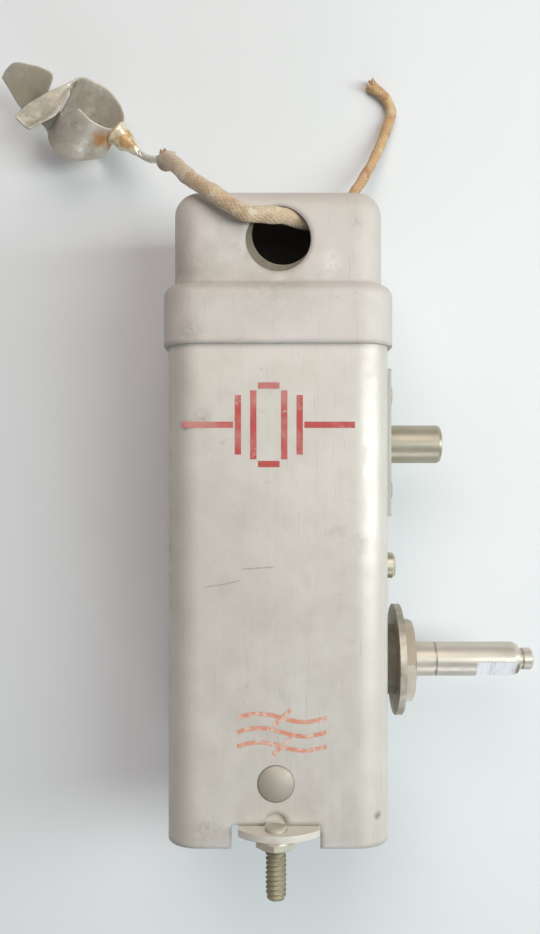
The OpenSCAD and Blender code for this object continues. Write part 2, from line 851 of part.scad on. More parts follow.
// Second grip, a narrow tab from the far wall's end that crosses in front of the first
module far_ear() {
    translate([0, far_start[0], far_start[1]]) rotate([far_lean, 0, 0]) mirror([0, 1, 0])
        translate([0, 0, -clip_sheet / 2]) linear_extrude(height = clip_sheet) polygon(far_outline);
}

module grid_clip() {
    color("lightgray") clip_place() {
        clip_loop();
        near_ear();
        far_ear();
    }
}

module clip_solder() {
    from = clip_r;
    to = clip_tail[0];
    color("silver") clip_place() difference() {
        translate([from, 0, clip_tail[2]]) rotate([0, 90, 0])
            cylinder(h = to - from, r1 = solder_r, r2 = solder_tip_r);
        translate([0, 0, -20]) cylinder(h = 40, r = clip_outer);
    }
}

module rear_lead() {
    color("tan") tube(rear_route, rear_lead_d);
}

shield_can();
top_cap();
hole_liner();
foot_bracket();
foot_rivet();
foot_stud();
side_plate();
plate_rivets();
frame_screw();
frame_nut();
partition();
base_board();
terminal_lugs();
board_posts();
top_board();
coil_form();
primary_winding();
secondary_winding();
mica_capacitor();
load_resistor();
phasing_spacer();
phasing_washer();
phasing_nut();
phasing_liner();
phasing_bushing();
phasing_plate();
phasing_stator();
phasing_shaft();
phasing_rotor();
switch_bushing();
switch_index();
switch_posts();
switch_wafer();
switch_contacts();
selector_shaft();
detent_arm();
switch_rotor();
crystal_socket();
crystal_base();
crystal_cover();
crystal_pins();
lower_electrode();
quartz_plate();
upper_electrode();
pressure_spring();
lead_terminals();
grid_lead();
grid_wire();
grid_clip();
clip_solder();
rear_lead();
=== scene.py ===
# Looks of a vintage crystal filter unit: worn aluminium can, nickel shafts, cloth-covered leads
# and a tinned tube-cap clip, seen from above as it lies on its back.
import json
import math
import random

import bpy
from mathutils import Euler, Matrix, Vector, noise


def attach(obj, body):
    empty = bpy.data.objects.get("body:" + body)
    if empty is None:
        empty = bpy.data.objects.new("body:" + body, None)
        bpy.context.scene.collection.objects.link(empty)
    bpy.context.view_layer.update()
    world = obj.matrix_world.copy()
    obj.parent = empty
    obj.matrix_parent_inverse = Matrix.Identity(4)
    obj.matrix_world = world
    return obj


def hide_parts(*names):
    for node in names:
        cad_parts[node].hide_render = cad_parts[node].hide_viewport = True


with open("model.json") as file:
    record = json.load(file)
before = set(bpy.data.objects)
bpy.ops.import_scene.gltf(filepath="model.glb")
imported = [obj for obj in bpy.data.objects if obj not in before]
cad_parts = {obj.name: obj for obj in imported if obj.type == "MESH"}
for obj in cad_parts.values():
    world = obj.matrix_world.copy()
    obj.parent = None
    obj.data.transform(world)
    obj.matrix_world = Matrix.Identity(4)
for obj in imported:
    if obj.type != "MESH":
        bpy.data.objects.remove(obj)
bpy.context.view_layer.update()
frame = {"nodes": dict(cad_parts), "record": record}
MM = 0.001

# Frame of the picture and the place it is seen from, in millimetres
IMAGE_H = 934
FOCAL_PIXELS = 892
SENSOR_MM = 36
EYE = (-1.4, 21.7, 188.1)
FLOOR_Z = -0.8
REST_Z = FLOOR_Z + 0.02
FLOOR_HALF = 3000

# Lamps: place, level side, rising side, power and colour; then the spot they face
LAMPS = {
    "key": ((320, 40, 325), 130, 480, 1.9, (0.9, 1.0, 0.98)),
    "fill": ((-40, 330, 420), 320, 320, 1.25, (1.0, 0.89, 0.81)),
    "low": ((60, -380, 200), 200, 200, 0.4, (0.86, 0.93, 1.0)),
}
LAMP_AIM = (0, 10, 20)
WORLD_STRENGTH = 0.21

# Can and cap, as in the solids
BODY_W = 38.1
BACK_MID = 42.5

# Height of the painted lines over the can's face, of each line over the one before, and their widths
PAINT_SKIN = 0.02
PAINT_STEP = 0.005
SYMBOL_STROKE = 1.05
STAMP_STROKE = 0.7
SCRATCH_STROKE = 0.2

# Routes of the leads, as in the solids
GRID_ROUTE = [
    (9, 49.5, 31.05), (11, 53.5, 31.2), (11.6, 57.6, 31.6), (10.2, 61.4, 32.2), (7, 63.6, 33),
    (3.6, 64.2, 34.6), (0.8, 64.3, 36.6), (-2, 64.1, 38.2), (-4.7, 63.9, 39.1), (-7.5, 65, 39.8),
    (-10.9, 67.4, 39.5), (-14.9, 70.6, 37), (-18, 74.6, 32), (-20.4, 78.2, 25),
]
WIRE_ROUTE = [
    (-20.4, 78.2, 25), (-22.7, 80.2, 18.6), (-24.8, 82, 13.4), (-26.4, 83.5, 10.6), (-27.9, 84.7, 9.5),
]
REAR_ROUTE = [
    (12.4, 51.5, 9), (12.4, 60, 9), (12.4, 69.2, 9), (13.1, 72.4, 8.5), (14.5, 75.6, 7.4),
    (16.3, 78.4, 6), (18.5, 82.4, 4), (20.9, 87.2, 2), (22.7, 91.8, 0.9), (24, 95.4, 0.5),
    (23.4, 98.3, 0.5), (21.7, 100.4, 0.5), (19.6, 102, 0.5),
]
GRID_LEAD_D = 2.8
GRID_WIRE_D = 1.5
REAR_LEAD_D = 2.1
LEAD_WOBBLE = 0.2
FLARE_REACH = 2.2
FRAY_REACH = 1.5
FRAY_ROOT = 0.8

# Clip, as in the solids: u runs towards the wire, b across the loop, a along the loop's axis
CLIP_TILT = 58
CLIP_TURN = 42
CLIP_TAIL = (12, 0, 0.3)
CLIP_R = 5.7
CLIP_SHEET = 0.5
CLIP_HIGH = 4
CLIP_LOW = 9
PETAL_R = 7.5
RIM_MID = 2.6
RIM_LEAN = (9.6, 11.3)
NEAR_ANGLE = 225
FAR_ANGLE = 178
NEAR_WALL = -4.5
RIM_CUT = ((-2.6, -2.3), (0, 2.4))
GRIP_SPOT = (-12.5, -4.5, -3)
TAB_SPOT = (-6.5, -8, -4)
FLUX_SPOTS = [(5.2, -2.9, -1.5), (5.9, 0.5, -2.5)]
FAR_START = (0.78, 3.52)
FAR_LEAN = 40

# Cross lines of the clip's flared grip: place along u, then lower and upper edge along a
GRIP_LINES = [
    (-17.8, -5.3, -4), (-17.4, -5.5, -2.2), (-16.9, -5.7, -0.9), (-15.2, -6.3, 0.1), (-13.6, -7, 0.9),
    (-11.8, -7.7, 1.9), (-10.2, -7.6, 2.4), (-8.8, -7.5, 2.8), (-8.2, -7.4, 2.1), (-8.05, -7.3, -2),
    (-6.8, -7.1, -2.3), (-5.4, -7.1, -2.3),
]

# Cross lines of the clip's tab: its root on the far wall, then distance down it and both edges along u
TAB_ROOT = [((-5.95, 0.9, -0.9), (-5.95, 1, 3.8)), ((-5.97, 0.2, -0.2), (-6.15, 0.3, 3.5))]
TAB_LINES = [
    (2.5, -5.75, -6.8), (4, -5.4, -7.2), (5.5, -4.8, -7.6), (6.8, -4.2, -8), (8.4, -3.5, -8.3),
    (9.8, -3.2, -8.5), (12.5, -3.85, -8.9), (15, -4.3, -8.4), (15.8, -4.5, -8.2),
]
TAB_CROWN = 0.35

# Phasing shaft and the flat filed on it, whose depth is its distance from the axis
PHASING_Y = -14.6
PHASING_Z = 19.05
FLAT_FROM = 37.2
FLAT_TO = 44.8
FLAT_DEPTH = 2.2
FLAT_ANGLE = 46
SHAFT_R = 3.175

# Skin laid over that flat: its height above it, and the margin left round it
FLAT_SKIN = 0.012
FLAT_MARGIN = 0.05

# Stud of the foot
STUD_X = -0.4
STUD_Z = 39.8
STUD_R = 1.75
STUD_TIP = -7.4
THREAD_PITCH = 0.794
THREAD_DEPTH = 0.36
COLLAR_LOW = 1.3
COLLAR_HIGH = 2.7
COLLAR_AF = 6.35
COLLAR_TURN = 24
STAKE_HIGH = 4.5
STUD_OVERLAP = 0.1


def place_camera():
    """Camera straight above, with the focal length of the photograph"""
    lens = bpy.data.cameras.new("view")
    lens.sensor_fit = "VERTICAL"
    lens.sensor_height = SENSOR_MM
    lens.lens = SENSOR_MM * FOCAL_PIXELS / IMAGE_H
    lens.clip_start = 0.005
    lens.clip_end = 20
    camera = bpy.data.objects.new("view", lens)
    camera.location = Vector(EYE) * MM
    bpy.context.collection.objects.link(camera)
    bpy.context.scene.camera = camera


def clip_matrix():
    """Place of the clip's own axes, hung from the wire's end"""
    turn = Euler((math.radians(-CLIP_TILT), 0, math.radians(-CLIP_TURN)), "XYZ").to_matrix()
    middle = Vector(WIRE_ROUTE[-1]) - turn @ Vector(CLIP_TAIL)
    return Matrix.Translation(middle) @ turn.to_4x4()


class Surface:
    """One node material, with short calls for the nodes that colour, roughen and dent it"""

    def __init__(self, name, colour, roughness, metallic=0.0):
        self.material = bpy.data.materials.new(name)
        self.material.use_nodes = True
        self.tree = self.material.node_tree
        self.shader = self.tree.nodes["Principled BSDF"]
        self.shader.inputs["Base Color"].default_value = (*colour, 1)
        self.shader.inputs["Roughness"].default_value = roughness
        self.shader.inputs["Metallic"].default_value = metallic
        self.colour = (*colour, 1)
        self.place = self.node("ShaderNodeTexCoord").outputs["Object"]

    def node(self, kind, **settings):
        made = self.tree.nodes.new(kind)
        for key, value in settings.items():
            setattr(made, key, value)
        return made

    def put(self, socket, value):
        if isinstance(value, bpy.types.NodeSocket):
            self.tree.links.new(value, socket)
        else:
            socket.default_value = value

    def stretched(self, stretch, turn=(0, 0, 0), source=None):
        mapping = self.node("ShaderNodeMapping")
        self.put(mapping.inputs["Vector"], source or self.place)
        mapping.inputs["Scale"].default_value = stretch
        mapping.inputs["Rotation"].default_value = [math.radians(angle) for angle in turn]
        return mapping.outputs["Vector"]

    def noise(self, size, detail=4, stretch=(1, 1, 1), turn=(0, 0, 0), rough=0.55):
        """Noise whose features are about size millimetres across, longer where stretch is below one"""
        made = self.node("ShaderNodeTexNoise")
        self.put(made.inputs["Vector"], self.stretched(stretch, turn))
        made.inputs["Scale"].default_value = 1 / (size * MM)
        made.inputs["Detail"].default_value = detail
        made.inputs["Roughness"].default_value = rough
        return made.outputs["Fac"]

    def band(self, value, low, high, bottom=0.0, top=1.0):
        made = self.node("ShaderNodeMapRange")
        self.put(made.inputs["Value"], value)
        made.inputs["From Min"].default_value = low
        made.inputs["From Max"].default_value = high
        made.inputs["To Min"].default_value = bottom
        made.inputs["To Max"].default_value = top
        return made.outputs["Result"]

    def math(self, operation, first, second=0.5):
        made = self.node("ShaderNodeMath", operation=operation)
        self.put(made.inputs[0], first)
        self.put(made.inputs[1], second)
        return made.outputs["Value"]

    def near(self, spot, reach):
        """One at a spot in millimetres, falling to zero at reach from it"""
        made = self.node("ShaderNodeVectorMath", operation="DISTANCE")
        self.put(made.inputs[0], self.place)
        made.inputs[1].default_value = Vector(spot) * MM
        return self.band(made.outputs["Value"], 0, reach * MM, 1, 0)

    def soften(self, radius):
        """Rounds the shading of edges by that many millimetres"""
        made = self.node("ShaderNodeBevel", samples=6)
        made.inputs["Radius"].default_value = radius * MM
        self.put(self.shader.inputs["Normal"], made.outputs["Normal"])

    def tint(self, amount, colour):
        """Lays colour over what is there, as much as amount says"""
        made = self.node("ShaderNodeMix", data_type="RGBA")
        self.put(made.inputs["Factor"], amount)
        self.put(made.inputs[6], self.colour)
        self.put(made.inputs[7], (*colour, 1))
        self.colour = made.outputs[2]
        self.put(self.shader.inputs["Base Color"], self.colour)

    def roughen(self, value, low, high):
        self.put(self.shader.inputs["Roughness"], self.band(value, 0.3, 0.7, low, high))

    def dent(self, height, depth):
        """Bump of about depth millimetres"""
        made = self.node("ShaderNodeBump")
        made.inputs["Strength"].default_value = 1.0
        made.inputs["Distance"].default_value = depth * MM
        self.put(made.inputs["Height"], height)
        if self.shader.inputs["Normal"].is_linked:
            self.put(made.inputs["Normal"], self.shader.inputs["Normal"].links[0].from_socket)
        self.put(self.shader.inputs["Normal"], made.outputs["Normal"])


# Colours of the sheets' shade, stains and scuffs; the stain colour is also laid as painted shade down the
# can's left side
WARM_SHADE = (0.47, 0.42, 0.37)
STAIN_AND_SHADE = (0.27, 0.24, 0.20)
SCUFF = (0.78, 0.76, 0.73)


def scratched(surface, length, width, turn, amount, colour):
    """Fine straight scratches that run along the turned Y axis"""
    lines = surface.noise(width, detail=2, stretch=(1, width / length, 1), turn=turn)
    surface.tint(surface.band(lines, 0.66, 0.72, 0, amount), colour)


def smudge(surface, spot, reach, size, amount, colour):
    """Patchy mark about a spot"""
    patches = surface.band(surface.noise(size, detail=5, rough=0.7), 0.34, 0.56)
    held = surface.math("MULTIPLY", surface.near(spot, reach), patches)
    surface.tint(surface.math("MULTIPLY", held, amount), colour)


def worn_sheet(name, colour, shade, streak=0.12, edge=0.3, matt=0.42, marks=()):
    """Dull sheet with faint drawn streaks, cloudy stains, dark specks, a few scratches and known marks"""
    made = Surface(name, colour, 0.5, 0.25)
    made.soften(edge)
    made.tint(made.band(made.noise(16, detail=5), 0.38, 0.72, 0, 0.5), shade)
    streaks = made.noise(0.9, detail=3, stretch=(1, 0.012, 1))
    made.tint(made.band(streaks, 0.42, 0.7, 0, streak), shade)
    made.tint(made.band(made.noise(6, detail=7, rough=0.72), 0.6, 0.82, 0, 0.45), STAIN_AND_SHADE)
    made.tint(made.band(made.noise(0.7, detail=2), 0.72, 0.77, 0, 0.45), STAIN_AND_SHADE)
    scratched(made, 8, 0.2, (0, 0, 62), 0.3, STAIN_AND_SHADE)
    for spot, reach, size, amount, mark in marks:
        smudge(made, spot, reach, size, amount, mark)
    made.roughen(made.noise(3, detail=5), matt, matt + 0.18)
    made.dent(made.noise(0.35, detail=3), 0.012)
    made.dent(made.noise(9, detail=2), 0.12)
    return made.material


def polished(name, colour, tarnish):
    """Smooth turned metal with faint rings and tarnish"""
    made = Surface(name, colour, 0.36, 0.5)
    made.tint(made.band(made.noise(5, detail=3), 0.4, 0.7, 0, 0.5), tarnish)
    rings = made.noise(0.3, detail=2, stretch=(3, 0.1, 0.1))
    made.tint(made.band(rings, 0.5, 0.75, 0, 0.25), tarnish)
    made.roughen(made.noise(2), 0.3, 0.42)
    made.dent(rings, 0.003)
    return made.material


def plated(name, colour, tarnish, roughness):
    """Plated metal with a fine grain and tarnish"""
    made = Surface(name, colour, roughness, 0.85)
    made.tint(made.band(made.noise(2.2, detail=5), 0.45, 0.75, 0, 0.7), tarnish)
    grain = made.noise(0.25, detail=2)
    made.tint(made.band(grain, 0.55, 0.8, 0, 0.3), tarnish)
    made.roughen(made.noise(1.2), roughness * 0.8, roughness * 1.5)
    made.dent(grain, 0.01)
    return made.material


def board(name, colour, shade):
    """Pressed board or moulding with a faint grain"""
    made = Surface(name, colour, 0.55)
    made.tint(made.band(made.noise(0.6, detail=5, stretch=(1, 1, 0.2)), 0.35, 0.7, 0, 0.7), shade)
    made.roughen(made.noise(0.9), 0.4, 0.7)
    made.dent(made.noise(0.4), 0.02)
    return made.material


def clear_quartz(name):
    """Mostly clear ground quartz"""
    made = Surface(name, (0.9, 0.94, 0.96), 0.25)
    made.shader.inputs["Transmission Weight"].default_value = 0.8
    made.shader.inputs["IOR"].default_value = 1.54
    made.tint(made.band(made.noise(0.8), 0.5, 0.8, 0, 0.4), (0.8, 0.86, 0.9))
    made.roughen(made.noise(0.5), 0.15, 0.45)
    return made.material


def wound_wire(name):
    """Silk-covered wire laid in close turns"""
    made = Surface(name, (0.32, 0.33, 0.15), 0.6)
    turns = made.node("ShaderNodeTexWave", bands_direction="Y")
    made.put(turns.inputs["Vector"], made.place)
    turns.inputs["Scale"].default_value = 700
    turns.inputs["Distortion"].default_value = 1.5
    made.tint(made.band(turns.outputs["Fac"], 0, 1, 0, 0.6), (0.12, 0.12, 0.05))
    made.dent(turns.outputs["Fac"], 0.15)
    return made.material


def cloth_cover(name, colour, dark, pale):
    """Old cotton braid: crossing ribs along the tube's own length, worn pale and stained dark, with painted
    shade in the grooves between the ribs
    """
    made = Surface(name, colour, 0.85)
    along = made.node("ShaderNodeUVMap", uv_map="along").outputs["UV"]
    ribs = []
    for turn in (38, -38):
        wave = made.node("ShaderNodeTexWave")
        made.put(wave.inputs["Vector"], made.stretched((1, 1, 1), (0, 0, turn), along))
        wave.inputs["Scale"].default_value = 0.5
        wave.inputs["Distortion"].default_value = 1.2
        wave.inputs["Detail"].default_value = 1
        ribs.append(wave.outputs["Fac"])
    braid = made.math("MAXIMUM", ribs[0], ribs[1])
    made.tint(made.band(made.noise(4, detail=5, rough=0.7), 0.45, 0.68, 0, 0.65), dark)
    made.tint(made.band(made.noise(2.2, detail=4), 0.5, 0.66, 0, 0.85), pale)
    # Painted shade: darker in the braid's grooves, where the ribs are low
    made.tint(made.band(braid, 0.75, 0.1, 0, 0.22), dark)
    made.shader.inputs["Sheen Weight"].default_value = 0.3
    made.dent(braid, 0.07)
    made.dent(made.noise(1.6, detail=4, rough=0.7), 0.32)
    return made.material


def red_paint(name, colour, bare, wear):
    """Stencil paint rubbed through in patches"""
    made = Surface(name, colour, 0.6)
    made.tint(made.band(made.noise(1.6, detail=6, rough=0.75), wear, wear + 0.12, 0, 0.85), bare)
    made.tint(made.band(made.noise(5, detail=2), 0.45, 0.7, 0, 0.3), bare)
    made.roughen(made.noise(0.8), 0.5, 0.7)
    return made.material


def filed_metal_painted_highlight(name):
    """Bright bare metal with two sets of file strokes; the near-white, faintly lavender colour is partly
    painted highlight
    """
    made = Surface(name, (0.95, 0.94, 0.98), 0.4, 0.2)
    for turn in (58, -40):
        strokes = made.noise(0.28, detail=2, stretch=(1, 0.06, 0.06), turn=(0, 0, turn))
        made.tint(made.band(strokes, 0.52, 0.68, 0, 0.5), (0.52, 0.51, 0.54))
        made.dent(strokes, 0.05)
    made.roughen(made.noise(0.5), 0.22, 0.5)
    return made.material


def stud_finish(name):
    """Dull plated stud: pale collar, tan thread"""
    made = Surface(name, (0.33, 0.295, 0.205), 0.45, 0.5)
    made.tint(made.band(made.noise(1.4, detail=4), 0.45, 0.7, 0, 0.7), (0.24, 0.20, 0.13))
    height = made.node("ShaderNodeSeparateXYZ")
    made.put(height.inputs[0], made.place)
    collar = (COLLAR_LOW - BACK_MID) * MM
    pale = made.band(height.outputs["Y"], collar - 0.2 * MM, collar + 0.1 * MM, 0, 0.75)
    made.tint(pale, (0.62, 0.58, 0.50))
    made.roughen(made.noise(0.8), 0.35, 0.6)
    made.dent(made.noise(0.5), 0.02)
    return made.material


def dark_scratch(name):
    """Grey groove of a scratch, paler in places"""
    made = Surface(name, (0.34, 0.325, 0.31), 0.6, 0.2)
    made.tint(made.band(made.noise(2.2, detail=3), 0.4, 0.65, 0, 0.8), (0.50, 0.47, 0.43))
    return made.material


def tinned_sheet(name):
    """Tinned clip: grey-beige skin, dark pits, worn pale patches and orange flux near the wire"""
    made = Surface(name, (0.52, 0.47, 0.405), 0.45, 0.35)
    made.tint(made.band(made.noise(3.5, detail=5, rough=0.7), 0.45, 0.68, 0, 0.6), (0.43, 0.365, 0.285))
    made.tint(made.band(made.noise(1.2, detail=5, rough=0.7), 0.57, 0.72, 0, 0.65), (0.22, 0.19, 0.15))
    made.tint(made.band(made.noise(2, detail=4), 0.54, 0.72, 0, 0.7), (0.66, 0.615, 0.55))
    smudge(made, clip_matrix() @ Vector(GRIP_SPOT), 9, 6, 0.75, (0.47, 0.41, 0.26))
    smudge(made, clip_matrix() @ Vector(TAB_SPOT), 9, 4, 1.5, (0.29, 0.27, 0.22))
    for spot in FLUX_SPOTS:
        smudge(made, clip_matrix() @ Vector(spot), 2.6, 1.6, 1.6, (0.50, 0.22, 0.06))
    made.roughen(made.noise(1.5), 0.3, 0.6)
    made.dent(made.noise(0.8, detail=4), 0.06)
    return made.material


def fluxed_solder(name):
    """Solder with amber flux left on it"""
    made = Surface(name, (0.78, 0.69, 0.51), 0.34, 0.35)
    made.tint(made.band(made.noise(2.4, detail=3), 0.5, 0.6, 0, 0.85), (0.55, 0.30, 0.11))
    made.tint(made.band(made.noise(1.0, detail=4), 0.58, 0.7, 0, 0.6), (0.75, 0.70, 0.60))
    made.roughen(made.noise(1.2), 0.18, 0.5)
    made.dent(made.noise(0.9, detail=3), 0.12)
    return made.material


# Marks seen on the can and the cap, and painted shade down the can's left side: place, reach, size of the
# patches, strength and colour
CAN_MARKS_AND_SHADE = [
    ((-12.7, 29.6, 38.1), 2.4, 0.9, 0.6, STAIN_AND_SHADE),
    ((17, -37.2, 37.2), 1.1, 1.0, 1.6, STAIN_AND_SHADE),
    ((-12.6, -39.4, 38.1), 4, 0.9, 0.45, STAIN_AND_SHADE),
    # Painted shade: darkens the whole left side of the can towards its rounded edge, where the light falls
    # off
    ((-17.5, 5, 35), 26, 6, 0.15, STAIN_AND_SHADE),
]
CAP_MARKS = [
    ((-14.8, 44.6, 39), 3.2, 0.9, 0.6, STAIN_AND_SHADE),
    ((8.7, 56.2, 38), 3, 0.8, 0.7, SCUFF),
    ((0, 53.4, 38.5), 10, 2.5, 0.35, STAIN_AND_SHADE),
    ((-15, 56, 36), 9, 3, 0.4, STAIN_AND_SHADE),
]

# Finish of each slot: the function that makes it, and what it is given after the slot's name
FINISHES = {
    "can_aluminium": (worn_sheet, (0.60, 0.56, 0.52), WARM_SHADE, 0.12, 1.5, 0.38, CAN_MARKS_AND_SHADE),
    "cap_aluminium": (worn_sheet, (0.58, 0.535, 0.505), WARM_SHADE, 0.03, 1.5, 0.6, CAP_MARKS),
    "plate_aluminium": (worn_sheet, (0.40, 0.395, 0.35), (0.32, 0.305, 0.265)),
    "vane_aluminium": (worn_sheet, (0.70, 0.70, 0.69), WARM_SHADE),
    "selector_aluminium": (polished, (0.40, 0.36, 0.285), (0.33, 0.285, 0.205)),
    "rivet_aluminium": (worn_sheet, (0.40, 0.36, 0.31), (0.28, 0.24, 0.20), 0.0),
    "plated_steel": (worn_sheet, (0.67, 0.63, 0.57), (0.48, 0.43, 0.35), 0.0),
    "washer_steel": (plated, (0.50, 0.46, 0.39), (0.30, 0.27, 0.21), 0.45),
    "screw_steel": (plated, (0.58, 0.54, 0.42), (0.36, 0.32, 0.22), 0.35),
    "nut_nickel": (polished, (0.38, 0.33, 0.265), (0.28, 0.235, 0.175)),
    "shaft_nickel": (polished, (0.58, 0.53, 0.47), (0.50, 0.445, 0.375)),
    "stud_brass": (stud_finish,),
    "turned_brass": (plated, (0.66, 0.52, 0.26), (0.40, 0.30, 0.14), 0.35),
    "tinned_brass": (plated, (0.74, 0.73, 0.68), (0.54, 0.52, 0.46), 0.4),
    "clip_tin": (tinned_sheet,),
    "solder": (fluxed_solder,),
    "fibre": (board, (0.185, 0.16, 0.115), (0.12, 0.1, 0.07)),
    "phenolic": (board, (0.23, 0.12, 0.055), (0.13, 0.065, 0.03)),
    "moulded_brown": (board, (0.16, 0.06, 0.03), (0.09, 0.035, 0.02)),
    "black_bakelite": (board, (0.03, 0.03, 0.031), (0.015, 0.015, 0.016)),
    "ceramic": (board, (0.78, 0.74, 0.65), (0.66, 0.61, 0.51)),
    "quartz": (clear_quartz,),
    "coil_wire": (wound_wire,),
    "lead_braid": (cloth_cover, (0.53, 0.39, 0.26), (0.28, 0.165, 0.08), (0.64, 0.58, 0.45)),
    "lead_braid_thin": (cloth_cover, (0.52, 0.33, 0.16), (0.32, 0.12, 0.05), (0.62, 0.46, 0.28)),
}
MATERIALS = {slot: make(slot, *values) for slot, (make, *values) in FINISHES.items()}
SCRATCH = dark_scratch("scratch")
# Filed metal for the shaft's flat, its bright colour partly painted highlight
FILED_WITH_PAINTED_HIGHLIGHT = filed_metal_painted_highlight("filed_metal_painted_highlight")
SYMBOL_RED = red_paint("symbol_red", (0.43, 0.06, 0.055), (0.60, 0.52, 0.46), 0.6)
STAMP_RED = red_paint("stamp_red", (0.58, 0.23, 0.155), (0.60, 0.50, 0.43), 0.48)


def dress_solids():
    """Gives each solid the finish of its slot"""
    for part in frame["record"]["subparts"]:
        mesh = frame["nodes"][part["node"]].data
        mesh.materials.clear()
        mesh.materials.append(MATERIALS[part["material_slot"]])


def piece(name, points, faces, slot_name, stands_for=(), smooth=True, body="unit"):
    """Mesh piece from points in millimetres, riding on a body and standing for solids"""
    mesh = bpy.data.meshes.new(name)
    mesh.from_pydata([Vector(point) * MM for point in points], [], faces)
    for polygon in mesh.polygons:
        polygon.use_smooth = smooth
    mesh.materials.append(MATERIALS[slot_name])
    made = bpy.data.objects.new(name, mesh)
    bpy.context.collection.objects.link(made)
    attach(made, body)
    if stands_for:
        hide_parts(*stands_for)
    return made


def smooth_route(route, steps):
    """Even points on the curve that passes through the route's points"""
    points = [Vector(point) for point in route]
    ends = [2 * points[0] - points[1]] + points + [2 * points[-1] - points[-2]]
    curve = []
    for before, start, end, after in zip(ends, ends[1:], ends[2:], ends[3:]):
        for step in range(steps):
            t = step / steps
            curve.append(0.5 * (
                2 * start + (end - before) * t
                + (2 * before - 5 * start + 4 * end - after) * t ** 2
                + (3 * start - before - 3 * end + after) * t ** 3
            ))
    return curve + [points[-1]]


def frames_along(curve):
    """Tangent and two cross directions at each point, with no sudden turns"""
    tangents = []
    for i in range(len(curve)):
        tangents.append((curve[min(i + 1, len(curve) - 1)] - curve[max(i - 1, 0)]).normalized())
    across = tangents[0].orthogonal().normalized()
    frames = []
    for tangent in tangents:
        across = (across - tangent * across.dot(tangent)).normalized()
        frames.append((tangent, across, tangent.cross(across)))
    return frames


def round_point(centre, across, up, radius, angle):
    """Point at an angle round a centre, in the plane of two cross directions"""
    return centre + radius * (math.cos(angle) * across + math.sin(angle) * up)


def ring_faces(first, rings, sides, inside_out=False):
    """Quads between neighbouring rings of points from point first on, inside out where rings run backwards"""
    faces = []
    for ring in range(rings - 1):
        low, high = first + ring * sides, first + (ring + 1) * sides
        for side in range(sides):
            after = (side + 1) % sides
            corners = (low + side, low + after, high + after, high + side)
            faces.append(corners[::-1] if inside_out else corners)
    return faces


def grid_faces(columns, rows):
    """Quads of a sheet whose points run row by row up each column"""
    faces = []
    for column in range(columns - 1):
        for row in range(rows - 1):
            low, high = column * rows + row, (column + 1) * rows + row
            faces.append((low, high, high + 1, low + 1))
    return faces


def route_length(curve):
    return sum((b - a).length for a, b in zip(curve, curve[1:]))


def tube(name, curve, radius_at, sides, slot_name, stands_for=()):
    """Closed tube along a curve, its radius from the distance along it and the angle round it"""
    points = []
    marks = []
    travelled = 0.0
    for i, (centre, (_, across, up)) in enumerate(zip(curve, frames_along(curve))):
        travelled += (centre - curve[i - 1]).length if i else 0
        marks.append(travelled)
        for side in range(sides):
            angle = 2 * math.pi * side / sides
            point = round_point(centre, across, up, radius_at(travelled, angle), angle)
            point.z = max(point.z, REST_Z)
            points.append(point)
    faces = [tuple(reversed(range(sides)))]
    faces += ring_faces(0, len(curve), sides)
    last = (len(curve) - 1) * sides
    faces.append(tuple(range(last, last + sides)))
    made = piece(name, points, faces, slot_name, stands_for)
    layer = made.data.uv_layers.new(name="along")
    round_mm = 2 * math.pi * radius_at(0, 0)
    for polygon in made.data.polygons:
        if len(polygon.vertices) != 4:
            continue
        turn = (polygon.index - 1) % sides
        for corner, loop in enumerate(polygon.loop_indices):
            ring = (polygon.index - 1) // sides + (corner >= 2)
            step = turn + (corner in (1, 2))
            layer.data[loop].uv = (step / sides * round_mm, marks[ring])
    return made


def worn_radius(radius, seed, wobble, end, flare):
    """Radius of a cloth cover that bulges and thins, and opens at its cut end"""
    def at(travelled, angle):
        spot = Vector((travelled * 0.45, math.cos(angle) * 0.8, math.sin(angle) * 0.8 + seed))
        opened = flare * max(0, 1 - (end - travelled) / FLARE_REACH) * (1 + 1.3 * math.cos(angle - seed))
        return radius * (1 + wobble * noise.noise(spot) + opened)
    return at


def frayed_end(name, curve, radius, count, reach, slot_name, seed):
    """Loose threads that stand out of a cut cloth cover"""
    chance = random.Random(seed)
    tangent, across, up = frames_along(curve)[-1]
    rings, sides = 4, 3
    points = []
    faces = []
    for thread in range(count):
        angle = chance.uniform(0, 2 * math.pi)
        out = math.cos(angle) * across + math.sin(angle) * up
        lean = chance.uniform(0.0, 0.5)
        length = reach * chance.uniform(0.6, 1.0)
        width = chance.uniform(0.3, 0.55)
        start = curve[-1] - tangent * FRAY_ROOT + out * radius * 0.9
        for ring in range(rings):
            t = ring / (rings - 1)
            centre = start + tangent * length * t * (1 - 0.5 * lean * t) + out * length * lean * t * t * 0.7
            for side in range(sides):
                turn = 2 * math.pi * side / sides
                point = round_point(centre, out, tangent.cross(out), width * (1 - 0.25 * t), turn)
                point.z = max(point.z, REST_Z)
                points.append(point)
        first = thread * rings * sides
        faces += ring_faces(first, rings, sides)
        faces.append(tuple(reversed(range(first, first + sides))))
        faces.append(tuple(range(first + (rings - 1) * sides, first + rings * sides)))
    return piece(name, points, faces, slot_name)


